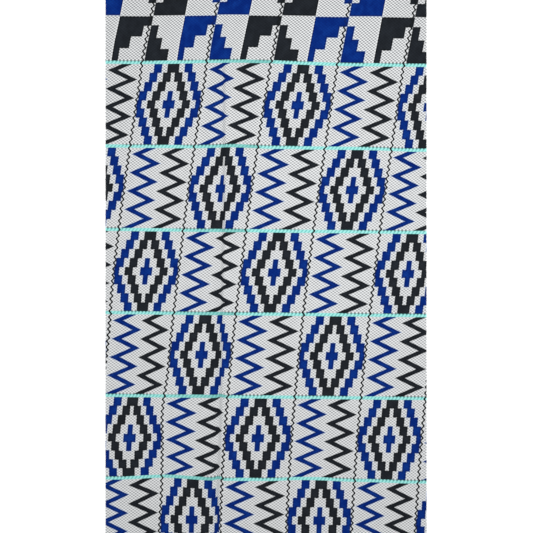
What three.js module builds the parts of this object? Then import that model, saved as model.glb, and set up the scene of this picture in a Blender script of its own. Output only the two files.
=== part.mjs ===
// A cut length of printed cotton cloth, lying face up in its folds.
// Millimetres, +Z up. The origin is under the middle of the cloth, on the surface that it lies on.
// +X runs across the printed strips and +Y runs along them, towards the border of steps.

import * as THREE from 'three';

// Driving dimensions
const CLOTH_WIDTH = 367;
const CLOTH_LENGTH = 690;
const SHEET_THICKNESS = 1.0;
const LEFT_EDGE = -CLOTH_WIDTH / 2;
const RIGHT_EDGE = CLOTH_WIDTH / 2;
const BORDER_END = CLOTH_LENGTH / 2;

// The long fold, one row for each section along the cloth, from the border end to the far end.
// The cloth climbs a short steep flank from the left to the crest. On the right it leaves the crest over
// a rounded brow, and a wide flank comes down slowly from there until the cloth lies flat.
const LONG_FOLD = [
  { y: 345, crestX: -44.0, height: 0.3, leftFlank: 8.0, rightBrow: 16, rightFlank: 70 },
  { y: 258, crestX: -44.3, height: 0.6, leftFlank: 7.0, rightBrow: 16, rightFlank: 75 },
  { y: 215, crestX: -44.7, height: 3.6, leftFlank: 6.4, rightBrow: 16, rightFlank: 85 },
  { y: 122, crestX: -44.4, height: 3.8, leftFlank: 6.4, rightBrow: 17, rightFlank: 95 },
  { y: 60, crestX: -44.7, height: 4.0, leftFlank: 6.4, rightBrow: 17, rightFlank: 95 },
  { y: 0, crestX: -46.4, height: 4.4, leftFlank: 6.4, rightBrow: 17, rightFlank: 100 },
  { y: -73, crestX: -47.7, height: 4.1, leftFlank: 6.4, rightBrow: 16, rightFlank: 100 },
  { y: -168, crestX: -48.4, height: 4.2, leftFlank: 6.4, rightBrow: 16, rightFlank: 95 },
  { y: -256, crestX: -50.6, height: 4.8, leftFlank: 8.0, rightBrow: 16, rightFlank: 90 },
  { y: -345, crestX: -50.8, height: 5.0, leftFlank: 8.0, rightBrow: 16, rightFlank: 90 },
];
const BROW_SHARE = 0.45;

// The low swells, one row each: a bell over an ellipse that leans by leanX for each step along Y.
const LOW_SWELLS = [
  { name: 'beside the fold', x: 10, y: 42, halfWidth: 29, halfLength: 165, leanX: 0.13, height: 3.0 },
  { name: 'right side', x: 117, y: -61, halfWidth: 46, halfLength: 190, leanX: 0.08, height: 2.6 },
  { name: 'lower left', x: -135, y: -250, halfWidth: 38, halfLength: 92, leanX: 0.04, height: 2.4 },
  { name: 'far end', x: 50, y: -296, halfWidth: 25, halfLength: 80, leanX: 0.05, height: 2.0 },
];

// Facets: rows along the cloth, and columns in each stretch of a row between its stations
const ROWS = 40;
const COLUMNS_LEFT_OF_FOLD = 9;
const COLUMNS_LEFT_FLANK = 12;
const COLUMNS_RIGHT_BROW = 6;
const COLUMNS_RIGHT_FLANK = 9;
const COLUMNS_RIGHT_OF_FOLD = 12;
const SLOPE_STEP = 0.05;

const printedCotton = new THREE.MeshStandardMaterial({
  name: 'printed cotton',
  color: 0xced0d1,
  roughness: 0.9,
  metalness: 0,
});

// 1 at the middle and 0 from the edge outwards, level at both
function bell(fromMiddle) {
  const clipped = Math.min(Math.abs(fromMiddle), 1);
  return 0.5 + 0.5 * Math.cos(Math.PI * clipped);
}

// The long fold's section at y, between two rows of its table
function longFoldAt(y) {
  const last = LONG_FOLD.length - 2;
  const found = LONG_FOLD.findIndex((section, i) => i > 0 && y >= section.y) - 1;
  const index = found < 0 ? last : Math.min(found, last);
  const above = LONG_FOLD[index];
  const below = LONG_FOLD[index + 1];
  const share = (above.y - y) / (above.y - below.y);
  const between = (column) => THREE.MathUtils.lerp(above[column], below[column], share);
  return {
    crestX: between('crestX'),
    height: between('height'),
    leftFlank: between('leftFlank'),
    rightBrow: between('rightBrow'),
    rightFlank: between('rightFlank'),
  };
}

function longFoldHeight(x, y) {
  const fold = longFoldAt(y);
  const fromCrest = x - fold.crestX;
  if (fromCrest < 0) return fold.height * bell(fromCrest / fold.leftFlank);
  const brow = BROW_SHARE * bell(fromCrest / fold.rightBrow);
  return fold.height * (brow + (1 - BROW_SHARE) * bell(fromCrest / fold.rightFlank));
}

function lowSwellHeight(swell, x, y) {
  const along = y - swell.y;
  const across = x - swell.x - swell.leanX * along;
  return swell.height * bell(Math.hypot(across / swell.halfWidth, along / swell.halfLength));
}

// How far the underside is lifted off the surface, and zero wherever the cloth lies flat
function lift(x, y) {
  const swells = LOW_SWELLS.map((swell) => lowSwellHeight(swell, x, y));
  return swells.reduce((sum, height) => sum + height, longFoldHeight(x, y));
}

// The places across a row, closer together on the fold's flanks, so that columns follow its crest
function stationsAcross(y) {
  const fold = longFoldAt(y);
  const leftFoot = fold.crestX - fold.leftFlank;
  const browEnd = fold.crestX + fold.rightBrow;
  const rightFoot = fold.crestX + fold.rightFlank;
  const stretches = [
    { from: LEFT_EDGE, to: leftFoot, columns: COLUMNS_LEFT_OF_FOLD },
    { from: leftFoot, to: fold.crestX, columns: COLUMNS_LEFT_FLANK },
    { from: fold.crestX, to: browEnd, columns: COLUMNS_RIGHT_BROW },
    { from: browEnd, to: rightFoot, columns: COLUMNS_RIGHT_FLANK },
    { from: rightFoot, to: RIGHT_EDGE, columns: COLUMNS_RIGHT_OF_FOLD },
  ];
  const stations = stretches.flatMap(({ from, to, columns }) => Array.from(
    { length: columns },
    (_, i) => THREE.MathUtils.lerp(from, to, i / columns),
  ));
  return [...stations, RIGHT_EDGE];
}

// The printed face lies one thickness off the underside, square to its slope across the cloth
function facePoint(x, y) {
  const slope = (lift(x + SLOPE_STEP, y) - lift(x - SLOPE_STEP, y)) / (2 * SLOPE_STEP);
  const square = new THREE.Vector3(-slope, 0, 1).setLength(SHEET_THICKNESS);
  return new THREE.Vector3(x, y, lift(x, y)).add(square);
}

function clothGeometry() {
  const columns = stationsAcross(BORDER_END).length - 1;
  const underside = [];
  const face = [];
  for (let row = 0; row <= ROWS; row += 1) {
    const y = BORDER_END - (CLOTH_LENGTH * row) / ROWS;
    for (const x of stationsAcross(y)) {
      underside.push(new THREE.Vector3(x, y, lift(x, y)));
      face.push(facePoint(x, y));
    }
  }

  const layer = underside.length;
  const under = (row, column) => row * (columns + 1) + column;
  const over = (row, column) => layer + under(row, column);
  const triangles = [];
  const quad = (a, b, c, d) => triangles.push(a, b, c, a, c, d);
  for (let row = 0; row < ROWS; row += 1) {
    for (let column = 0; column < columns; column += 1) {
      const corners = [[row + 1, column], [row + 1, column + 1], [row, column + 1], [row, column]];
      quad(...corners.map((corner) => over(...corner)));
      quad(...corners.reverse().map((corner) => under(...corner)));
    }
  }

  // The cut edges: the two ends, then the two sides
  for (let column = 0; column < columns; column += 1) {
    quad(under(0, column + 1), under(0, column), over(0, column), over(0, column + 1));
    quad(under(ROWS, column), under(ROWS, column + 1), over(ROWS, column + 1), over(ROWS, column));
  }
  for (let row = 0; row < ROWS; row += 1) {
    quad(under(row, 0), under(row + 1, 0), over(row + 1, 0), over(row, 0));
    quad(under(row + 1, columns), under(row, columns), over(row, columns), over(row + 1, columns));
  }

  const geometry = new THREE.BufferGeometry().setFromPoints([...underside, ...face]);
  geometry.setIndex(triangles);
  geometry.computeVertexNormals();
  return geometry;
}

const clothLength = new THREE.Mesh(clothGeometry(), printedCotton);
clothLength.name = 'cloth_length';

const waxPrintCloth = new THREE.Group();
waxPrintCloth.add(clothLength);

export default waxPrintCloth;
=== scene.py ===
# %% [markdown]
# # A length of wax print cloth, lying in its folds
# The real thing is one piece of cotton, cut from a bolt and laid face up on a table. Nothing is sewn
# to it. Its print is a traditional layout of narrow strips: stepped lozenges and zigzags take turns,
# thin turquoise lines part the rows, and a border of steps closes one end. This lesson dresses the
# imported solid. A thin sheet takes the solid's place, and every motif is drawn by a formula, so no
# picture is needed.

# %% Load the frame
import functools
import math
import operator
from collections import namedtuple

import bpy
import numpy as np
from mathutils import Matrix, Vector, noise


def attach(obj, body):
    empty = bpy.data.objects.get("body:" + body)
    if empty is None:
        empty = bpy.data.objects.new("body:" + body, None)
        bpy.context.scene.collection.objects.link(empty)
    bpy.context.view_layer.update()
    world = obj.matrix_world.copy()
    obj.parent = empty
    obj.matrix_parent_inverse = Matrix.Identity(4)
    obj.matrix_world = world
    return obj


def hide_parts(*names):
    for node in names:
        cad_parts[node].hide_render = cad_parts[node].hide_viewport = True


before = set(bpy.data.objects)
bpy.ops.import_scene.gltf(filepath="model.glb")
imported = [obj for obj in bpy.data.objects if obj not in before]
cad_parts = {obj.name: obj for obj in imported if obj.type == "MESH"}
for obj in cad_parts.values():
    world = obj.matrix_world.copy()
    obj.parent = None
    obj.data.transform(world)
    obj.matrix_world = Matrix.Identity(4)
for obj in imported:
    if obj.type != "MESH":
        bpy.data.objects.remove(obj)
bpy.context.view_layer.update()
MM = 0.001

# %% [markdown]
# ## The camera
# The cloth is seen from straight above, so its edges stay parallel. A camera with a long lens, far
# away, keeps them so without giving up perspective. The lens follows from two sizes: how much of the
# table the picture takes in, and how high the camera hangs.

# %% Camera
PICTURE_SIDE = 533
MM_PER_PIXEL = 1.145
VIEW_SIDE = PICTURE_SIDE * MM_PER_PIXEL * MM
CAMERA_HEIGHT = 2.6
CAMERA_X = 0.5 * MM

camera = bpy.data.objects.new("camera", bpy.data.cameras.new("camera"))
bpy.context.collection.objects.link(camera)
camera.location = (CAMERA_X, 0, CAMERA_HEIGHT)
camera.data.lens = camera.data.sensor_width * CAMERA_HEIGHT / VIEW_SIDE
bpy.context.scene.camera = camera
print("lens", round(camera.data.lens, 1), "mm, over", round(VIEW_SIDE, 3), "m of table")

# %% [markdown]
# ## The folds
# One long fold runs down the cloth. The cloth climbs a short steep flank to its crest, leaves the
# crest over a rounded brow and comes down slowly on the other side. A few broad swells lie beside it.
# A cloth simulation could make folds like these, but not in these places, so they are listed one by
# one:
# a table has a row for each section of the long fold, and another a row for each swell.

# %% Fold tables, in millimetres
Section = namedtuple("Section", "y crest_x height left_flank right_brow right_flank")
LONG_FOLD = [
    Section(y=-345, crest_x=-50.8, height=5.0, left_flank=8.0, right_brow=16, right_flank=90),
    Section(y=-256, crest_x=-50.6, height=4.8, left_flank=8.0, right_brow=16, right_flank=90),
    Section(y=-168, crest_x=-48.4, height=4.2, left_flank=6.4, right_brow=16, right_flank=95),
    Section(y=-73, crest_x=-47.7, height=4.1, left_flank=6.4, right_brow=16, right_flank=100),
    Section(y=0, crest_x=-46.4, height=4.4, left_flank=6.4, right_brow=17, right_flank=100),
    Section(y=60, crest_x=-44.7, height=4.0, left_flank=6.4, right_brow=17, right_flank=95),
    Section(y=122, crest_x=-44.4, height=3.8, left_flank=6.4, right_brow=17, right_flank=95),
    Section(y=215, crest_x=-44.7, height=3.6, left_flank=6.4, right_brow=16, right_flank=85),
    Section(y=258, crest_x=-44.3, height=0.6, left_flank=7.0, right_brow=16, right_flank=75),
    Section(y=345, crest_x=-44.0, height=0.3, left_flank=8.0, right_brow=16, right_flank=70),
]

Swell = namedtuple("Swell", "x y half_width half_length lean_x height")
LOW_SWELLS = [
    Swell(x=10, y=42, half_width=29, half_length=165, lean_x=0.13, height=3.0),
    Swell(x=117, y=-61, half_width=46, half_length=190, lean_x=0.08, height=2.6),
    Swell(x=-135, y=-250, half_width=38, half_length=92, lean_x=0.04, height=2.4),
    Swell(x=50, y=-296, half_width=25, half_length=80, lean_x=0.05, height=2.0),
]
highest = max(section.height for section in LONG_FOLD)
print("long fold: up to", highest, "mm, and", len(LOW_SWELLS), "swells")

# %% [markdown]
# ## Height of the cloth
# All the folds are bells, which are level at the top and at the foot, so the cloth between them lies
# flat on the table. A thin sheet turns more sharply than the solid, so its steep flank is tightened a
# little.

# %% Heights
BROW_SHARE = 0.45
FLANK_TIGHTENING = 1.2


def bell(from_middle):
    """1 at the middle and 0 from 1 outwards, level at both."""
    return 0.5 + 0.5 * np.cos(np.pi * np.minimum(np.abs(from_middle), 1))


def fold_at(y):
    """The long fold's section at each y, as a Section of arrays."""
    table_y = [section.y for section in LONG_FOLD]
    columns = zip(*LONG_FOLD)
    return Section(*(np.interp(y, table_y, column) for column in columns))


def tightened(down_flank):
    """A place on the steep flank, 0 at its crest to 1 at its foot, drawn in towards its middle."""
    return np.clip(0.5 + FLANK_TIGHTENING * (down_flank - 0.5), 0, 1)


def steep_flank(fold, from_crest):
    """0 at the foot of the steep flank, 1 at the crest and past it."""
    return bell(tightened(-from_crest / fold.left_flank))


def long_fold(x, y):
    fold = fold_at(y)
    from_crest = x - fold.crest_x
    left = steep_flank(fold, from_crest)
    brow = BROW_SHARE * bell(from_crest / fold.right_brow)
    right = brow + (1 - BROW_SHARE) * bell(from_crest / fold.right_flank)
    return fold.height * np.where(from_crest < 0, left, right)


def swell_lift(swell, x, y):
    along = y - swell.y
    across = x - swell.x - swell.lean_x * along
    return swell.height * bell(np.hypot(across / swell.half_width, along / swell.half_length))


def lift(x, y):
    """How far the cloth stands off the table, in millimetres."""
    return long_fold(x, y) + sum(swell_lift(swell, x, y) for swell in LOW_SWELLS)


crest = fold_at(0).crest_x
print("at mid length the crest stands", round(float(lift(crest, 0)), 1), "mm off the table")

# %% [markdown]
# ## The sheet
# Cotton of this weight is a third of a millimetre thick. The sheet is a grid of points on the folds,
# with a printed face, a reverse side and a cut edge round the rim. Its columns crowd together on the
# steep flank and follow the crest as it wanders, so the bend stays smooth where it matters and the
# flat parts stay light. A very slight pucker, from smooth noise, takes the machined look off the flat
# parts.

# %% Sheet points
CLOTH_WIDTH = 367
CLOTH_LENGTH = 690
SHEET_THICKNESS = 0.4
ROWS = 220
COLUMNS_BETWEEN_STOPS = [40, 26, 16, 36, 44]
PUCKER_HEIGHT = 0.22
PUCKER_LENGTH = 34
PUCKER_LAYER = 0.5
PUCKER_FADING, PUCKER_REFINING, PUCKER_OCTAVES = 1.0, 2.0, 3


def stations(y):
    """The x of every point in the row at y."""
    fold = fold_at(y)
    edge = CLOTH_WIDTH / 2
    past_crest = [-fold.left_flank, 0, fold.right_brow, fold.right_flank]
    stops = [-edge, *(fold.crest_x + step for step in past_crest), edge]
    spans = zip(stops, stops[1:], COLUMNS_BETWEEN_STOPS)
    pieces = [np.linspace(start, end, columns, endpoint=False) for start, end, columns in spans]
    return np.append(np.concatenate(pieces), edge)


def pucker(x, y):
    """Slight unevenness of the woven cloth, never below the table."""
    place = Vector((x / PUCKER_LENGTH, y / PUCKER_LENGTH, PUCKER_LAYER))
    swing = noise.fractal(place, PUCKER_FADING, PUCKER_REFINING, PUCKER_OCTAVES)
    return PUCKER_HEIGHT * (0.5 + 0.5 * swing)


row_y = np.linspace(CLOTH_LENGTH / 2, -CLOTH_LENGTH / 2, ROWS + 1)
sheet_x = np.array([stations(y) for y in row_y])
sheet_y = np.repeat(row_y[:, None], sheet_x.shape[1], axis=1)
sheet_z = lift(sheet_x, sheet_y) + np.vectorize(pucker)(sheet_x, sheet_y)
COLUMNS = sheet_x.shape[1] - 1
print("sheet grid:", COLUMNS, "by", ROWS, "and", round(float(sheet_z.max()), 1), "mm high")

# %% [markdown]
# ## Where the print lies
# The print was made on flat cloth, so it has to be laid along the folds and not projected down on
# them. Each row's arc length gives the flat place of a point: on the steep flank the print is
# squeezed, as it is on the real cloth, and a little more of it is tucked away along the fold's foot.
#
# Real cloth never lies quite square either. The strips lean and bow, because the length was laid
# slightly askew, the border leans a little more, and the strips are not of one width. Two tables hold
# what is left: places where the strips sway to one side, and places where the rows are drawn up or
# let down. They are swells again, in millimetres along the cloth in place of height.

# %% Print tables, in millimetres
STRIP = 75.85
STRIP_SPREAD = (STRIP, 0.135, -0.1)
STRIP_AT_MIDDLE = 3.5
STRIP_BOW = (10.6, 12.45, 1.0, -0.12)
BOW_UNIT = 100
BORDER_START = 230
BORDER_LEAN = 0.045
TUCK_SHARE = 0.48
SEAM_DRIFT = {1: -1.0, 2: 0.4, 3: 1.2, 4: -0.5, 5: -0.7, 6: 0.9}
STRIP_SWAYS = [
    Swell(x=-34, y=215, half_width=32, half_length=130, lean_x=0.19, height=-1.3),
    Swell(x=-82, y=0, half_width=30, half_length=400, lean_x=0, height=-0.7),
    Swell(x=-135, y=280, half_width=70, half_length=75, lean_x=0, height=1.2),
    Swell(x=-165, y=-85, half_width=55, half_length=85, lean_x=0, height=3.0),
    Swell(x=-118, y=-165, half_width=50, half_length=48, lean_x=0, height=-2.6),
    Swell(x=-172, y=-208, half_width=48, half_length=52, lean_x=0, height=-1.8),
    Swell(x=-128, y=-255, half_width=40, half_length=55, lean_x=0, height=1.3),
    Swell(x=18, y=215, half_width=38, half_length=70, lean_x=0, height=0.9),
    Swell(x=96, y=172, half_width=32, half_length=45, lean_x=0, height=-1.1),
    Swell(x=172, y=-25, half_width=65, half_length=150, lean_x=0, height=1.8),
]

ROW = 95.2
ROW_AT_MIDDLE = 2.4275
ROW_TILT = 0.01
ROW_NARROWING = 0.002
ROW_DRAWS = [
    Swell(x=-118, y=-243, half_width=60, half_length=70, lean_x=0, height=2.8),
    Swell(x=-155, y=-205, half_width=50, half_length=50, lean_x=0, height=-1.6),
    Swell(x=-54, y=-250, half_width=8, half_length=260, lean_x=0.02, height=1.8),
    Swell(x=-25, y=250, half_width=130, half_length=150, lean_x=0, height=2.6),
    Swell(x=-38, y=135, half_width=45, half_length=60, lean_x=0, height=1.2),
    Swell(x=130, y=300, half_width=150, half_length=70, lean_x=0, height=2.0),
    Swell(x=172, y=115, half_width=65, half_length=80, lean_x=0, height=-1.5),
    Swell(x=50, y=-250, half_width=55, half_length=75, lean_x=0, height=1.7),
    Swell(x=170, y=-255, half_width=60, half_length=80, lean_x=0, height=-1.3),
]
print("a cell of the print is", STRIP, "by", ROW, "mm")

# %% [markdown]
# ## Print coordinates
# The result is two numbers for each point, which the shader reads: how many strips across it is, and
# how many rows along. Whole numbers are seams and lines, and what is below 0 along the cloth is
# border.

# %% Strips across, rows along
polyval = np.polynomial.polynomial.polyval


def flat_across(x, z):
    """Distance along the cloth from its middle line, row by row."""
    steps = np.hypot(np.diff(x, axis=1), np.diff(z, axis=1))
    along_row = np.concatenate([np.zeros((len(x), 1)), np.cumsum(steps, axis=1)], axis=1)
    middle = [np.interp(0, xs, lengths) for xs, lengths in zip(x, along_row)]
    return along_row - np.array(middle)[:, None]


def tucked(x, y):
    """How much print is lost in the crease, for points to its left."""
    fold = fold_at(y)
    return TUCK_SHARE * fold.height * (1 - steep_flank(fold, x - fold.crest_x))


def strips_across(flat_x):
    """How many strips across each point lies, from its place on the flat cloth."""
    bow_y = sheet_y / BOW_UNIT
    middle_seam = polyval(bow_y, STRIP_BOW)
    middle_seam += BORDER_LEAN * np.maximum(sheet_y - BORDER_START, 0)
    swayed = sum(swell_lift(sway, sheet_x, sheet_y) for sway in STRIP_SWAYS)
    from_seam = flat_x - tucked(sheet_x, sheet_y) - middle_seam - swayed
    strip_width = polyval(bow_y, STRIP_SPREAD)
    even = STRIP_AT_MIDDLE + from_seam / strip_width
    drift = np.interp(even, list(SEAM_DRIFT), list(SEAM_DRIFT.values()))
    return even + drift / strip_width


def rows_along():
    """How many rows below the border each point lies."""
    drawn = sum(swell_lift(draw, sheet_x, sheet_y) for draw in ROW_DRAWS)
    even = ROW_AT_MIDDLE - (sheet_y + ROW_TILT * sheet_x - drawn) / ROW
    return even + ROW_NARROWING * (sheet_y / BOW_UNIT) ** 2


sheet_flat_x = flat_across(sheet_x, sheet_z)
print_across = strips_across(sheet_flat_x)
print_along = rows_along()

# %% [markdown]
# ## Building the mesh
# The grid becomes two layers of points. The face is set off from the reverse side squarely to the
# slope, which keeps the thickness even on the steep flank. The rim's quads close the sheet into one
# solid skin.

# %% Sheet layers and quads
def sheet_layers():
    """Points of the reverse side, then of the face, in metres."""
    slope = np.stack([np.gradient(z, x) for x, z in zip(sheet_x, sheet_z)])
    length = np.sqrt(1 + slope**2)
    reverse = np.stack([sheet_x, sheet_y, sheet_z], axis=-1)
    outward = np.stack([-slope / length, np.zeros_like(slope), 1 / length], axis=-1)
    face = reverse + SHEET_THICKNESS * outward
    face[:, [0, -1], 0] = sheet_x[:, [0, -1]]
    return np.concatenate([reverse.reshape(-1, 3), face.reshape(-1, 3)]) * MM


def sheet_quads():
    """Corner indices of the face, the reverse side and the rim, and the rim's points in order."""
    grid = np.arange((ROWS + 1) * (COLUMNS + 1)).reshape(ROWS + 1, COLUMNS + 1)
    corners = [grid[:-1, :-1], grid[:-1, 1:], grid[1:, 1:], grid[1:, :-1]]
    under = np.stack(corners, axis=-1).reshape(-1, 4)
    face = under[:, ::-1] + grid.size
    loop = np.concatenate([grid[0, :-1], grid[:-1, -1], grid[-1, :0:-1], grid[:0:-1, 0]])
    following = np.roll(loop, -1)
    rim = np.stack([following, loop, loop + grid.size, following + grid.size], axis=-1)
    return face, under, rim, loop


points = sheet_layers()
face_quads, under_quads, rim_quads, rim_loop = sheet_quads()
print(len(points), "points,", len(rim_loop), "of them round the rim")

# %% [markdown]
# ## The cloth as an object
# The print's coordinates go into a UV map, because the pattern follows the surface and no projection
# would follow the folds. The face and the reverse side have a material slot each. Sharp edges along
# the rim keep its shading off the face.

# %% Sheet mesh
quads = np.concatenate([face_quads, under_quads, rim_quads])
cloth_mesh = bpy.data.meshes.new("printed_cloth")
cloth_mesh.from_pydata(points.tolist(), [], quads.tolist())

print_uv = np.tile(np.stack([print_across, print_along], axis=-1).reshape(-1, 2), (2, 1))
corner_points = np.empty(len(cloth_mesh.loops), dtype=np.int32)
cloth_mesh.loops.foreach_get("vertex_index", corner_points)
corner_uv = print_uv[corner_points].ravel().astype(np.float32)
cloth_mesh.uv_layers.new(name="print").data.foreach_set("uv", corner_uv)
print("sheet:", len(quads), "faces")

# %% Sides and rim
FACE_SLOT, REVERSE_SLOT = 0, 1

polygons = cloth_mesh.polygons
polygons.foreach_set("use_smooth", np.ones(len(polygons), dtype=bool))
slots = np.full(len(polygons), FACE_SLOT, dtype=np.int32)
slots[len(face_quads):len(face_quads) + len(under_quads)] = REVERSE_SLOT
polygons.foreach_set("material_index", slots)
on_rim = np.zeros(len(points), dtype=bool)
on_rim[np.concatenate([rim_loop, rim_loop + len(points) // 2])] = True
for edge in cloth_mesh.edges:
    edge.use_edge_sharp = bool(on_rim[edge.vertices[0]] and on_rim[edge.vertices[1]])
cloth_mesh.validate()
cloth = bpy.data.objects.new("printed_cloth", cloth_mesh)
bpy.context.collection.objects.link(cloth)
print("reverse side:", int((slots == REVERSE_SLOT).sum()), "faces")

# %% [markdown]
# ## Shader maths as arithmetic
# Every motif of this print is geometry: boxes, a zigzag line, a wave. In a node editor that takes
# hundreds of Math nodes, which nobody can read. A small class wraps one output of a node, and its
# operators add the Math node that they stand for, so a motif can be written as a formula. `&` takes
# the smaller and `|` the larger of two values, which cuts and joins shapes when a value says how deep
# inside a shape a point lies.

# %% Wires
MIX_SHARE, MIX_UNDER, MIX_OVER, MIX_RESULT = 0, 6, 7, 2


class Wire:
    """One output of a node in a tree. Its operators add Math nodes."""

    def __init__(self, tree, socket=None):
        """Without a socket it only adds nodes to its tree."""
        self.tree = tree
        self.socket = socket

    def make(self, kind, settings=None, sockets=None, output=0):
        """Add a node of any kind, with its settings, then the values or links of its sockets."""
        node = self.tree.nodes.new(kind)
        for name, value in (settings or {}).items():
            setattr(node, name, value)
        for name, value in (sockets or {}).items():
            if isinstance(value, Wire):
                self.tree.links.new(value.socket, node.inputs[name])
            else:
                node.inputs[name].default_value = value
        return Wire(self.tree, node.outputs[output])

    def math(self, operation, *others):
        """This value put through a Math node, with the others that the operation takes."""
        sockets = dict(enumerate((self, *others)))
        return self.make("ShaderNodeMath", {"operation": operation}, sockets)

    def reflected(self, operation, first):
        """The same for two values with this one second, as in 1 - mask."""
        return self.make("ShaderNodeMath", {"operation": operation}, {0: first, 1: self})

    def __add__(self, other):
        return self.math("ADD", other)

    def __sub__(self, other):
        return self.math("SUBTRACT", other)

    def __rsub__(self, other):
        return self.reflected("SUBTRACT", other)

    def __mul__(self, other):
        return self.math("MULTIPLY", other)

    def __truediv__(self, other):
        return self.math("DIVIDE", other)

    def __rtruediv__(self, other):
        return self.reflected("DIVIDE", other)

    def __and__(self, other):
        return self.math("MINIMUM", other)

    def __or__(self, other):
        return self.math("MAXIMUM", other)

    def __gt__(self, other):
        return self.math("GREATER_THAN", other)

    def __lt__(self, other):
        return self.math("LESS_THAN", other)

    def __neg__(self):
        return self * -1

    def __abs__(self):
        return self.math("ABSOLUTE")

    __radd__ = __add__
    __rmul__ = __mul__
    __rand__ = __and__
    __ror__ = __or__

    def odd(self):
        """1 for an odd whole number and 0 for an even one."""
        return self.math("FLOORED_MODULO", 2)

    def wave(self, turns):
        """Cosine with this many turns for each unit."""
        return (self * (2 * math.pi * turns)).math("COSINE")

    def ramp(self, start, end):
        """0 up to start and 1 from end on, straight between."""
        sockets = {"Value": self, "From Min": start, "From Max": end}
        return self.make("ShaderNodeMapRange", {"clamp": True}, sockets)

    def choose(self, where_one, where_zero):
        """where_one where this mask is 1, and where_zero elsewhere."""
        return where_zero + self * (where_one - where_zero)

    def mix(self, share, under, over):
        """Colour over laid on colour under, by a share that is a number or a wire."""
        sockets = {MIX_SHARE: share, MIX_UNDER: under, MIX_OVER: over}
        return self.make("ShaderNodeMix", {"data_type": "RGBA"}, sockets, output=MIX_RESULT)

    def paint(self, under, over):
        """Colour over laid on colour under wherever this mask is 1."""
        return self.mix(self, under, over)


print("wires ready")

# %% [markdown]
# ## Inks
# A wax print has few inks. Here they are a deep blue, a blue-black and a turquoise on a bleached
# ground. The dye gathers at the rim of a motif, which is darker than its body, and bleeds a little
# past it. The body is worn lighter in patches. The ground is printed with fine grey dashes that
# imitate a weave. The values are given as they look on a screen and turned into the linear values
# that a shader works with.

# %% Ink colours
def ink(red, green, blue):
    """A screen colour of 0 to 255 as the linear colour of a shader socket, by the sRGB curve."""
    screen = np.array([red, green, blue]) / 255
    linear = np.where(screen <= 0.04045, screen / 12.92, ((screen + 0.055) / 1.055) ** 2.4)
    return (*linear.tolist(), 1.0)


Ink = namedtuple("Ink", "body worn rim bleed")
BLUE = Ink(
    body=ink(2, 40, 122),
    worn=ink(12, 60, 148),
    rim=ink(1, 16, 84),
    bleed=ink(100, 134, 186),
)
BLACK = Ink(
    body=ink(32, 36, 42),
    worn=ink(42, 47, 54),
    rim=ink(12, 14, 17),
    bleed=ink(116, 120, 124),
)
TURQUOISE = ink(166, 238, 232)
TURQUOISE_DARK = ink(118, 200, 194)
# Painted shade: the darker turquoise of the lines beside the long fold.
TURQUOISE_FOLD_SHADE = ink(84, 160, 152)
BLEACHED = ink(240, 242, 243)
DASH_GREY = ink(146, 148, 150)
STITCH = ink(24, 27, 29)
print("blue, as a shader sees it:", [round(value, 3) for value in BLUE.body[:3]])

# %% [markdown]
# ## Lozenges
# Each lozenge is two stepped rings round a plus. A ring is a large staircase lozenge with a smaller
# one taken out, and a staircase lozenge is five boxes on one centre, each a step wider and a step
# shorter than the last. Reaches are counted in steps, from the lozenge's middle line to the side of
# its tip. The middle step, where the design mirrors, is a little lower than the others. Working with
# depth, the distance to the nearest edge in millimetres, gives the rims of the ink as well.

# %% Lozenge
STEP_WIDTH = 4.52
STEP_HEIGHT = 10.4
MIDDLE_STEP = 9.2
STEPS_ALONG = 9
HALF_STEPS = STEPS_ALONG // 2
BLACK_REACH, BLACK_HOLE = 1.5, -0.5
BLUE_REACH, BLUE_HOLE, BLUE_LIMIT = 5.0, 3.0, 8.25
PLUS_ARM, PLUS_STEM = 1.5, 0.62


def union(depths):
    return functools.reduce(operator.or_, depths)


def box_depth(across, along, half_width, half_height):
    return (half_width - across) & (half_height - along)


def staircase(across, along, reach):
    """Depth inside a stepped lozenge whose tip is this many steps wide to each side."""
    widths = [(reach + k) * STEP_WIDTH for k in range(HALF_STEPS + 1)]
    heights = [MIDDLE_STEP / 2 + (HALF_STEPS - k) * STEP_HEIGHT for k in range(HALF_STEPS + 1)]
    sizes = [size for size in zip(widths, heights) if size[0] > 0]
    return union(box_depth(across, along, *size) for size in sizes)


def lozenge(across, along):
    """Depth inside the blue and the black of a lozenge, from a cell's place as shares of the cell."""
    x = abs((across - 0.5) * STRIP)
    y = abs((along - 0.5) * ROW)
    black = staircase(x, y, BLACK_REACH) & -staircase(x, y, BLACK_HOLE)
    ring = staircase(x, y, BLUE_REACH) & -staircase(x, y, BLUE_HOLE) & (BLUE_LIMIT * STEP_WIDTH - x)
    arm = box_depth(x, y, PLUS_ARM * STEP_WIDTH, MIDDLE_STEP / 2)
    stem = box_depth(x, y, PLUS_STEM * STEP_WIDTH, MIDDLE_STEP / 2 + STEP_HEIGHT)
    return ring | arm | stem, black


print("lozenge:", round(2 * BLUE_LIMIT * STEP_WIDTH, 1), "mm wide and", STEPS_ALONG, "steps high")

# %% [markdown]
# ## Zigzags
# The other cells hold a blue and a black zigzag side by side. They could be chains of slanted boxes,
# but the Ping Pong operation of a Math node is a zigzag already: it gives the stroke's middle line,
# and the stroke is what lies within half its width.

# %% Zigzag
CROSS_LINE = 3.7
Zigzag = namedtuple("Zigzag", "left right half_stroke")
BLUE_ZIGZAG = Zigzag(left=4.35, right=38.15, half_stroke=5.4)
BLACK_ZIGZAG = Zigzag(left=38.4, right=72.5, half_stroke=5.4)
ZIGZAG_RISE = 10.51
FIRST_TIP = 7.16


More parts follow.
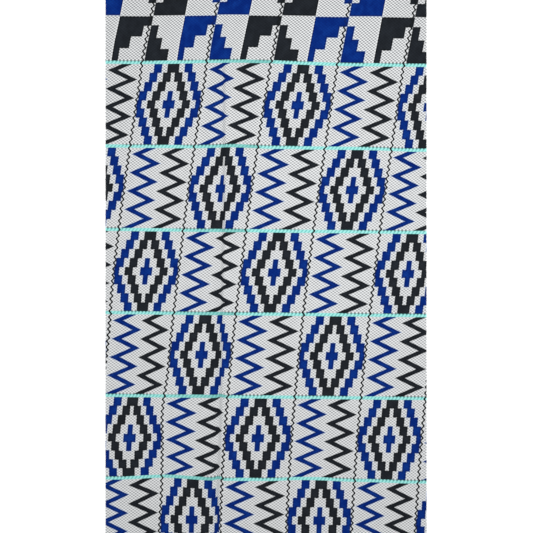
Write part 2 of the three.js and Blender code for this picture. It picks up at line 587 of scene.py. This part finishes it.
def zigzag(across, along, size):
    """Depth inside one zigzag stroke, from a cell's place as shares of the cell."""
    below_tip = along * ROW - (CROSS_LINE / 2 + FIRST_TIP)
    swing = below_tip.math("PINGPONG", ZIGZAG_RISE) / ZIGZAG_RISE
    run = size.right - size.left - 2 * size.half_stroke
    middle = size.left + size.half_stroke + run * swing
    square_on = ZIGZAG_RISE / math.hypot(ZIGZAG_RISE, run)
    return (size.half_stroke - abs(across * STRIP - middle)) * square_on


print("zigzag:", round(ROW / (2 * ZIGZAG_RISE), 1), "turns in a cell")

# %% [markdown]
# ## The border of steps
# Two rows of steps close the end of the cloth, one the other turned half round, and their ink changes
# from seam to seam. Each is again a union of boxes: a large block that steps down away from the seam,
# and a small one that steps up beside it. Both start a little to the right of the seam. Folding the
# two rows over the gap between them means that one formula draws both, with the steps of the upper
# row set a little further out. A pale line, where the wax kept the dye off, parts the blocks.

# %% Border
BORDER_ROW = 50.3
BORDER_GAP = 1.2
BORDER_SHIFT = 2.9
UPPER_STRETCH = 4.0
Step = namedtuple("Step", "width depth")
LARGE_STEPS = [Step(STRIP / 2, 10.5), Step(29.4, 22.6), Step(17.4, 36.0), Step(7.2, BORDER_ROW)]
SMALL_STEPS = [Step(8.7, 10.1), Step(16.2, 24.6), Step(26.2, 37.2)]
RESIST_LINE = 1.5
BORDER_MIDDLE = CROSS_LINE / 2 + BORDER_ROW + BORDER_GAP / 2
END_LINE = 2 * BORDER_MIDDLE


def border(across, along):
    """Depth inside the border's steps, the mask of the pale lines, and the nearest seam's number."""
    shifted = across - BORDER_SHIFT / STRIP
    seam = shifted.math("ROUND")
    above_middle = -along * ROW - BORDER_MIDDLE
    turned = -above_middle.math("SIGN") * (shifted - seam) * STRIP
    from_gap = abs(above_middle) - BORDER_GAP / 2
    deep = from_gap - UPPER_STRETCH * (above_middle > 0)
    inset = turned + STRIP / 2
    large = union((step.width - inset) & (step.depth - deep) for step in LARGE_STEPS) & inset
    small = union((step.width - turned) & (deep - step.depth) for step in SMALL_STEPS) & turned
    in_row = from_gap & (BORDER_ROW - from_gap)
    pale_line = (in_row > 0) * (turned > STRIP / 2 - RESIST_LINE)
    return (large | small) & in_row, pale_line, seam


print("border:", round(END_LINE, 1), "mm from its first line to its last")

# %% [markdown]
# ## Lines and seams
# A turquoise line closes each row of cells and the border. A thin dark wave runs down every seam
# between two strips, as if the strips were sewn together by hand: in this cloth it is printed, so it
# is drawn and not modelled. Each seam's wave starts at another point of its swing.

# %% Lines and waves
LINES_FROM = -0.5
WAVE_PITCH = 6.9
WAVE_SWING = 1.2
WAVE_HALF_STROKE = 1.15
WAVE_SHIFT = 0.2
WAVE_PHASE = 0.37


def cross_line(along):
    """Depth inside the turquoise lines, and the height above the nearest line's middle."""
    above = (along.math("ROUND") - along) * ROW
    over_cells = (along > LINES_FROM).choose(CROSS_LINE / 2 - abs(above), -CROSS_LINE)
    above_end = -along * ROW - END_LINE
    return over_cells | (CROSS_LINE / 2 - abs(above_end)), above


def seam_wave(across, along):
    """Depth inside the dark wave that runs down a seam."""
    seam = across.math("ROUND")
    from_seam = (across - seam) * STRIP
    swing = (along * (ROW / WAVE_PITCH) + seam * WAVE_PHASE).wave(1) * WAVE_SWING
    return WAVE_HALF_STROKE - abs(from_seam - WAVE_SHIFT - swing)


print("wave:", round(ROW / WAVE_PITCH, 1), "swings in a row")

# %% [markdown]
# ## Where the ink lies
# The cell's place in the strip and row picks lozenge or zigzag, as on a chessboard. In the border,
# odd seams carry one ink and even seams the other. Nothing is masked yet: all of it is still depth,
# and only `inked` turns a depth into a soft-edged mask.

# %% Ink depths
EDGE_SOFTNESS = 0.25


def print_depths(across, along):
    """Depths inside the blue and the black ink, and the mask of the border's pale lines."""
    strip, row = across.math("FLOOR"), along.math("FLOOR")
    cell_across, cell_along = across - strip, along - row
    lozenge_blue, lozenge_black = lozenge(cell_across, cell_along)
    parity = (strip + row).odd()
    cell_blue = parity.choose(lozenge_blue, zigzag(cell_across, cell_along, BLUE_ZIGZAG))
    cell_black = parity.choose(lozenge_black, zigzag(cell_across, cell_along, BLACK_ZIGZAG))

    steps, pale_line, border_seam = border(across, along)
    odd_seam = border_seam.odd()
    in_cells = along > 0
    blue = in_cells.choose(cell_blue, odd_seam.choose(-ROW, steps))
    black = in_cells.choose(cell_black, odd_seam.choose(steps, -ROW))
    return blue, black, pale_line


def inked(depth):
    """A depth as a mask with a soft edge."""
    return depth.ramp(-EDGE_SOFTNESS, EDGE_SOFTNESS)


print("edges of the ink are", 2 * EDGE_SOFTNESS, "mm soft")

# %% [markdown]
# ## The ground
# The bleached cotton carries a lattice of small grey dashes, in imitation of a weave. They could be
# single shapes, but the product of two waves is a lattice already. The dashes fade beside the ink,
# where the wax spread, they are stronger in the border than in the cells, and a mottle makes them
# uneven.

# %% Ground
DASHES_PER_STRIP = 18
DASH_ROWS_PER_ROW = 30
DASH_RANGE = (-0.4, 0.5)
DASH_LEAST, DASH_MOTTLE = 0.75, 0.5
DASH_MIDDLE = 0.32
DASH_CONTRAST_BORDER = 1.35
DASH_CONTRAST_CELLS = 0.84
DASH_FADE = (-0.5, 1.5)
HALO_WIDTH = 1.5
HALO_SHARE = 0.8
PALE_LINE_SHARE = 0.5


def ground(along, lattice, mottle, depth, pale_line):
    """Colour of the ground, for the depth inside whatever ink is nearest."""
    near_ink = depth.ramp(-HALO_WIDTH, 0) | (PALE_LINE_SHARE * pale_line)
    uneven = DASH_LEAST + DASH_MOTTLE * mottle
    dashes = lattice.ramp(*DASH_RANGE) * (1 - HALO_SHARE * near_ink) * uneven
    contrast = along.ramp(*DASH_FADE).choose(DASH_CONTRAST_CELLS, DASH_CONTRAST_BORDER)
    return (DASH_MIDDLE + contrast * (dashes - DASH_MIDDLE)).paint(BLEACHED, DASH_GREY)


print("dashes:", round(STRIP / DASHES_PER_STRIP, 1), "by", round(ROW / DASH_ROWS_PER_ROW, 1), "mm")

# %% [markdown]
# ## Ink on the ground
# Laid on as one flat colour, the ink would look like cut paper. Each ink goes on in three coats
# instead, all from the same depth: the bleed just outside the motif, the dark rim, and the body,
# which shows the lattice a little and is worn in patches.

# %% Ink coats
BLEED_WIDTH = 0.9
RIM_START, RIM_END = 0.2, 1.8
WORN_RANGE = (0.4, 0.75)
LATTICE_SHOW = 0.2


def dyed(colour, depth, dye, lattice, mottle):
    """A colour with one ink laid on it."""
    bled = depth.ramp(-BLEED_WIDTH, 0).paint(colour, dye.bleed)
    body = mottle.ramp(*WORN_RANGE).paint(dye.body, dye.worn)
    full = depth.ramp(RIM_START, RIM_END) * (1 - LATTICE_SHOW + LATTICE_SHOW * lattice)
    return inked(depth).paint(bled, full.paint(dye.rim, body))


print("rim of the ink:", RIM_END, "mm; bleed past it:", BLEED_WIDTH, "mm")

# %% [markdown]
# ## Turquoise on top
# The turquoise lines are hatched on the slant. Beside the long fold they are painted darker, as painted
# shade of the fold: it grows from the second seam on and ends at the third. Small dark dots follow the
# lines' upper edges, but only in patches.

# %% Turquoise lines
HATCH_RANGE = (-0.3, 0.8)
# Painted shade: where across the strips the turquoise lines darken beside the long fold, and how much.
FOLD_SHADE_RISE = (1.7, 2.9)
FOLD_SHADE_FALL = (2.95, 3.1)
FOLD_SHADE_SHARE = 0.5
DOT_HEIGHT = 1.9
DOT_RANGE = (-0.3, 0.3)
DOT_PATCHES = (0.42, 0.52)
DOT_SHARE = 0.7


def lined(colour, across, along, patches):
    """A colour with the turquoise lines, their painted fold shade and their dots laid on it."""
    line, above_line = cross_line(along)
    slant = across * DASHES_PER_STRIP + along * (DASH_ROWS_PER_ROW / 2)
    hatch = slant.wave(1).ramp(*HATCH_RANGE)
    # Painted shade of the long fold, laid on the turquoise lines.
    painted_fold_shade = FOLD_SHADE_SHARE * across.ramp(*FOLD_SHADE_RISE) * (1 - across.ramp(*FOLD_SHADE_FALL))
    turquoise = painted_fold_shade.paint(hatch.paint(TURQUOISE, TURQUOISE_DARK), TURQUOISE_FOLD_SHADE)
    colour = inked(line).paint(colour, turquoise)
    dot_row = inked(DOT_HEIGHT / 2 - abs(above_line - CROSS_LINE / 2))
    dots = dot_row * across.wave(DASHES_PER_STRIP).ramp(*DOT_RANGE) * patches.ramp(*DOT_PATCHES)
    return (DOT_SHARE * dots).paint(colour, STITCH)


print("turquoise line:", CROSS_LINE, "mm, with dots of", DOT_HEIGHT, "mm")

# %% [markdown]
# ## All the coats
# Now the coats go on in order: ground, blue, black, turquoise lines with their dots, and last the waves
# of the seams, which are partly lost where they cross blue. The lattice serrates the ink's edges a
# little, as the imitation weave does. Two noises, one fine and one broad, make the wear and the dots
# uneven. A picture could hold all this, but it would blur in a close view, and formulas stay sharp.

# %% Print colour
MOTTLE_SCALE, MOTTLE_DETAIL = 9.0, 4.0
PATCH_SCALE, PATCH_DETAIL = 1.7, 1.0
SERRATION = 0.22
WAVE_LOST_IN_BLUE = 0.6


def uneven_at(place, scale, detail):
    """Smooth noise between 0 and 1 at a place of the print."""
    sockets = {"Vector": place, "Scale": scale, "Detail": detail}
    return place.make("ShaderNodeTexNoise", {}, sockets)


def print_colour(place, across, along):
    """Colour of the print at a place, and the mask of its blue and black ink."""
    mottle = uneven_at(place, MOTTLE_SCALE, MOTTLE_DETAIL)
    patches = uneven_at(place, PATCH_SCALE, PATCH_DETAIL)
    lattice = across.wave(DASHES_PER_STRIP) * along.wave(DASH_ROWS_PER_ROW)
    blue, black, pale_line = print_depths(across, along)
    blue, black = blue + SERRATION * lattice, black + SERRATION * lattice
    wave = seam_wave(across, along)
    colour = ground(along, lattice, mottle, blue | black | wave, pale_line)
    colour = dyed(colour, blue, BLUE, lattice, mottle)
    colour = dyed(colour, black, BLACK, lattice, mottle)
    colour = lined(colour, across, along, patches)
    stitched = inked(wave) * (1 - WAVE_LOST_IN_BLUE * inked(blue))
    return stitched.paint(colour, STITCH), inked(blue) | inked(black)


print("ink's edge waves by", SERRATION, "mm with the lattice")

# %% [markdown]
# ## The printed cotton
# The colour goes into a material for each side of the cloth. Cotton is dull, and the ink makes it
# only a little smoother. The real weave is finer than the printed lattice, too fine to model, and is
# bump. The reverse side is the same print, paler, because not all of the dye goes through.

# %% Printed cotton
WEAVE_PITCH = 0.9
BUMP_STRENGTH = 0.1
BUMP_DISTANCE = 0.06 * MM
COTTON_ROUGHNESS, INK_SMOOTHING = 0.92, 0.1
COTTON_SPECULAR = 0.06
REVERSE_PALENESS = 0.3


def printed_cotton(name, paleness):
    """The material of one side of the cloth; paleness is 0 for the face."""
    material = bpy.data.materials.new(name)
    material.use_nodes = True
    tree = material.node_tree
    shader = tree.nodes["Principled BSDF"]
    start = Wire(tree)
    place = start.make("ShaderNodeAttribute", {"attribute_name": "print"}, output="Vector")
    across = start.make("ShaderNodeSeparateXYZ", {}, {"Vector": place}, output="X")
    along = start.make("ShaderNodeSeparateXYZ", {}, {"Vector": place}, output="Y")
    colour, ink_mask = print_colour(place, across, along)
    if paleness:
        colour = start.mix(paleness, colour, BLEACHED)

    weave = across.wave(STRIP / WEAVE_PITCH) * along.wave(ROW / WEAVE_PITCH)
    bump_sockets = {"Strength": BUMP_STRENGTH, "Distance": BUMP_DISTANCE, "Height": weave}
    bump = start.make("ShaderNodeBump", {}, bump_sockets)
    roughness = COTTON_ROUGHNESS - INK_SMOOTHING * ink_mask
    for socket, wire in (("Base Color", colour), ("Roughness", roughness), ("Normal", bump)):
        tree.links.new(wire.socket, shader.inputs[socket])
    shader.inputs["Specular IOR Level"].default_value = COTTON_SPECULAR
    print(name, "has", len(tree.nodes), "nodes")
    return material


face_cotton = printed_cotton("printed_cotton_face", 0)
reverse_cotton = printed_cotton("printed_cotton_reverse", REVERSE_PALENESS)
cloth_mesh.materials.append(face_cotton)
cloth_mesh.materials.append(reverse_cotton)

# %% [markdown]
# ## The rim, as a path for yarn ends
# Where woven cotton is cut, the ends of its yarns stand out along the edge as a short fuzz. They need
# a path to stand on: the middle of the cut edge, with the way out at each point. The print's
# coordinates ride along, so that each end can take the colour of the cloth beside it.

# %% Rim path
def rim_path():
    """The cloth's edge as a closed line of points, with the way out and the print's place at each."""
    middle = (points[rim_loop] + points[rim_loop + len(points) // 2]) / 2
    mesh = bpy.data.meshes.new("yarn_path")
    count = len(middle)
    mesh.from_pydata(middle.tolist(), [(i, (i + 1) % count) for i in range(count)], [])
    ahead = np.roll(middle, -1, axis=0) - np.roll(middle, 1, axis=0)
    out = np.stack([-ahead[:, 1], ahead[:, 0], np.zeros(count)], axis=-1)
    out /= np.linalg.norm(out, axis=1, keepdims=True)
    place = np.concatenate([print_uv[rim_loop], np.zeros((count, 1))], axis=1)
    for name, values in (("outward", out), ("print", place)):
        attribute = mesh.attributes.new(name, "FLOAT_VECTOR", "POINT")
        attribute.data.foreach_set("vector", values.ravel())
    return mesh


carrier = bpy.data.objects.new("yarn_carrier", rim_path())
bpy.context.collection.objects.link(carrier)
print("rim path:", len(carrier.data.vertices), "points")

# %% [markdown]
# ## Yarn ends
# Thousands of like pieces along a path are work for Geometry Nodes: the rim becomes a curve, points
# are set along it at the yarns' pitch, and each point gets a small tapered yarn that points outwards,
# with a chance tilt and length. The yarns hardly droop, because the table is right under them.

# %% Yarn tilt and stretch
YARN_STRETCH = (0.35, 1.4)
YARN_TILT = 0.45
YARN_DROOP = 0.1
YARN_SEED = 7
VECTOR_LOW, VECTOR_HIGH = 0, 1
NUMBER_LOW, NUMBER_HIGH, NUMBER_RESULT = 2, 3, 1


def yarn_turn(start):
    """The way that each yarn points: outwards, with a chance tilt."""
    vectors = {"data_type": "FLOAT_VECTOR"}
    outward = start.make("GeometryNodeInputNamedAttribute", vectors, {"Name": "outward"})
    lowest, highest = (-YARN_TILT, -YARN_TILT, -YARN_DROOP), (YARN_TILT,) * 3
    tilt_range = {VECTOR_LOW: lowest, VECTOR_HIGH: highest, "Seed": YARN_SEED}
    tilt = start.make("FunctionNodeRandomValue", vectors, tilt_range)
    aim = start.make("ShaderNodeVectorMath", {"operation": "ADD"}, {0: outward, 1: tilt})
    return start.make("FunctionNodeAlignRotationToVector", {"axis": "Z"}, {"Vector": aim})


def yarn_scale(start):
    """A chance stretch of each yarn along its length."""
    shortest, longest = YARN_STRETCH
    stretch_range = {NUMBER_LOW: shortest, NUMBER_HIGH: longest, "Seed": YARN_SEED + 1}
    numbers = {"data_type": "FLOAT"}
    stretch = start.make("FunctionNodeRandomValue", numbers, stretch_range, output=NUMBER_RESULT)
    return start.make("ShaderNodeCombineXYZ", {}, {"X": 1.0, "Y": 1.0, "Z": stretch})


print("yarns tilt by up to", round(math.degrees(math.atan(YARN_TILT))), "degrees each way")

# %% Yarn tree
YARN_PITCH = 0.6 * MM
YARN_RADIUS = 0.16 * MM
YARN_LENGTH = 0.8 * MM
YARN_TAPER = 0.4
YARN_SIDES = 4


def yarn_tree():
    """Rim in, yarn ends out; its sizes are inputs of the tree."""
    tree = bpy.data.node_groups.new("yarn_ends", "GeometryNodeTree")
    tree.interface.new_socket("Geometry", in_out="OUTPUT", socket_type="NodeSocketGeometry")
    tree.interface.new_socket("Geometry", in_out="INPUT", socket_type="NodeSocketGeometry")
    inputs = {}
    for name, value in (("Pitch", YARN_PITCH), ("Radius", YARN_RADIUS), ("Length", YARN_LENGTH)):
        socket = tree.interface.new_socket(name, in_out="INPUT", socket_type="NodeSocketFloat")
        inputs[socket.identifier] = value

    start = Wire(tree)
    rim, pitch, radius, length = (start.make("NodeGroupInput", output=i) for i in range(4))
    curve = start.make("GeometryNodeMeshToCurve", {}, {"Mesh": rim})
    spacing = {"Curve": curve, "Length": pitch}
    spaced = start.make("GeometryNodeResampleCurve", {"mode": "LENGTH"}, spacing)
    cone = {"Vertices": YARN_SIDES, "Radius Top": radius * YARN_TAPER, "Radius Bottom": radius}
    yarn = start.make("GeometryNodeMeshCone", {"fill_type": "NGON"}, {**cone, "Depth": length})
    turn, scale = yarn_turn(start), yarn_scale(start)
    placing = {"Points": spaced, "Instance": yarn, "Rotation": turn, "Scale": scale}
    ends = start.make("GeometryNodeInstanceOnPoints", {}, placing)
    solid = start.make("GeometryNodeRealizeInstances", {}, {"Geometry": ends})
    dressing = {"Geometry": solid, "Material": face_cotton}
    dressed = start.make("GeometryNodeSetMaterial", {}, dressing)
    output = tree.nodes.new("NodeGroupOutput")
    tree.links.new(dressed.socket, output.inputs[0])
    return tree, inputs


yarn_group, yarn_sizes = yarn_tree()
print("yarn tree:", len(yarn_group.nodes), "nodes and", len(yarn_sizes), "sizes")

# %% [markdown]
# ## Yarn ends as a plain mesh
# A modifier's inputs are set by their sockets' identifiers. Once the tree has run, its result is
# taken out as a mesh of its own, so that no modifier is left on the piece.

# %% Yarn ends made
def plain_mesh(grown, name):
    """The evaluated shape of an object as an object of its own, with no modifier."""
    evaluated = grown.evaluated_get(bpy.context.evaluated_depsgraph_get())
    mesh = bpy.data.meshes.new_from_object(evaluated)
    mesh.name = name
    bpy.data.objects.remove(grown)
    made = bpy.data.objects.new(name, mesh)
    bpy.context.collection.objects.link(made)
    return made


modifier = carrier.modifiers.new("yarn_ends", "NODES")
modifier.node_group = yarn_group
for identifier, value in yarn_sizes.items():
    modifier[identifier] = value
yarn_ends = plain_mesh(carrier, "yarn_ends")
print("yarn ends:", len(yarn_ends.data.polygons), "faces")

# %% [markdown]
# ## The table
# The cloth lies on a plain white table. A table lit by the lamp alone would turn grey towards the
# edges of the picture, so it also glows a little. It lies a hair below the cloth, so that no two
# faces share a place.

# %% Table
FLOOR_SIDE = 6.0
FLOOR_DROP = 0.2 * MM
FLOOR_GLOW = 0.35
FLOOR_WHITE = (0.92, 0.92, 0.92, 1)
FLOOR_ROUGHNESS = 0.9
FLOOR_SPECULAR = 0.1
WHITE = (1, 1, 1, 1)

half = FLOOR_SIDE / 2
outline = [(-half, -half), (half, -half), (half, half), (-half, half)]
floor_corners = [(x, y, -FLOOR_DROP) for x, y in outline]
floor_mesh = bpy.data.meshes.new("floor")
floor_mesh.from_pydata(floor_corners, [], [(0, 1, 2, 3)])
floor = bpy.data.objects.new("floor", floor_mesh)
bpy.context.collection.objects.link(floor)

table_top = bpy.data.materials.new("white_table")
table_top.use_nodes = True
table_inputs = table_top.node_tree.nodes["Principled BSDF"].inputs
table_inputs["Base Color"].default_value = FLOOR_WHITE
table_inputs["Roughness"].default_value = FLOOR_ROUGHNESS
table_inputs["Specular IOR Level"].default_value = FLOOR_SPECULAR
table_inputs["Emission Color"].default_value = WHITE
table_inputs["Emission Strength"].default_value = FLOOR_GLOW
floor_mesh.materials.append(table_top)
print("table:", FLOOR_SIDE, "m square")

# %% [markdown]
# ## The light
# A bright, even sky fills the shadows. A sun would light the whole cloth alike, so one square lamp
# hangs over it instead, a little towards the upper right, and faces straight down. It gives the folds
# a light side and a dark side, and lets the lower left fall slightly darker.

# %% Light
SKY_STRENGTH = 0.77
LAMP_PLACE = (0.08, 0.12, 0.5)
LAMP_SIDE = 0.4
LAMP_WATTS = 1.0

lamp = bpy.data.objects.new("window", bpy.data.lights.new("window", "AREA"))
bpy.context.collection.objects.link(lamp)
lamp.location = LAMP_PLACE
lamp.visible_camera = False
lamp.data.size = LAMP_SIDE
lamp.data.energy = LAMP_WATTS

world = bpy.data.worlds.new("sky")
world.use_nodes = True
sky_inputs = world.node_tree.nodes["Background"].inputs
sky_inputs["Color"].default_value = WHITE
sky_inputs["Strength"].default_value = SKY_STRENGTH
bpy.context.scene.world = world
bpy.context.scene.view_settings.view_transform = "Standard"
print("lamp:", LAMP_WATTS, "W, under a sky of", SKY_STRENGTH)

# %% [markdown]
# ## Handing over
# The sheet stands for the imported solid, and both pieces ride on the only body. The sheet's flat size
# is its arc length across the folds, by its length.

# %% Finish
for piece in (cloth, yarn_ends):
    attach(piece, "root")
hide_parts("cloth_length")
